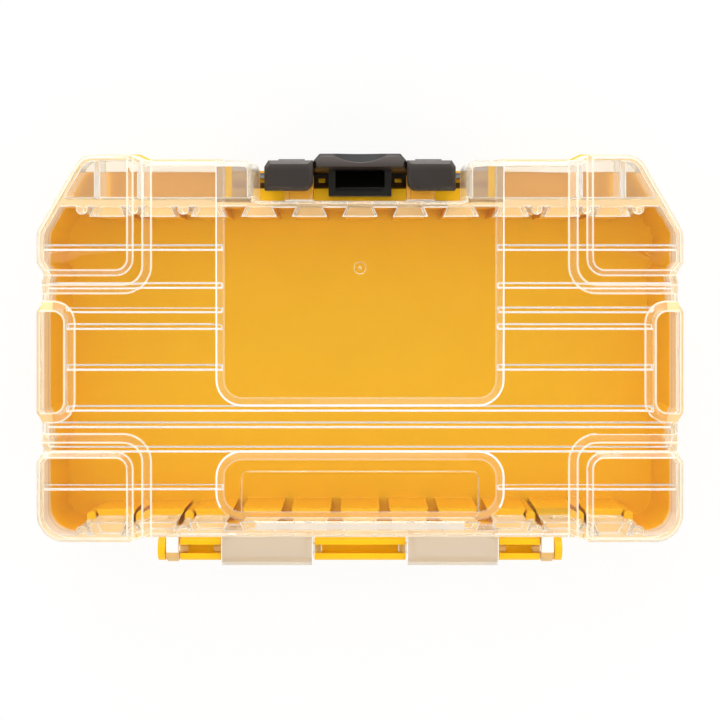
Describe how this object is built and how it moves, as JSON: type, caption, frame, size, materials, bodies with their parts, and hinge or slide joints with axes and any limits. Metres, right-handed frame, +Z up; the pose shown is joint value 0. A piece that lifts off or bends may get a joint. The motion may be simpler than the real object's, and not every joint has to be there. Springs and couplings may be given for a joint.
{
  "type": "bit storage case",
  "caption": "Flat hinged storage case for screwdriver and drill bits: moulded tray, clear raised lid, snap hinge row and a black swing latch with a finger well.",
  "frame": {"origin": "middle of the closed case's box, on the surface that the case lies on", "axes": "+X along the hinge towards the right of the picture, +Y towards the latch, +Z up out of the lid"},
  "size_m": [0.21, 0.1358, 0.0478],
  "materials": {
    "tray_plastic": "fine satin moulded ABS, warm yellow",
    "lid_plastic": "clear polycarbonate, polished, with frosted bands",
    "latch_plastic": "black moulded plastic, satin"
  },
  "bodies": {
    "tray": {"base_tray": "tray_plastic"},
    "lid": {"lid": "lid_plastic"},
    "latch": {"latch": "latch_plastic"}
  },
  "joints": [
    {"name": "lid_hinge", "type": "hinge", "parent": "tray", "child": "lid", "pos_m": [0, -0.063, 0.027], "axis": [1, 0, 0], "range_deg": [0, 180]},
    {"name": "latch_hinge", "type": "hinge", "parent": "tray", "child": "latch", "pos_m": [0, 0.0599, 0.012], "axis": [-1, 0, 0], "range_deg": [0, 95]}
  ]
}
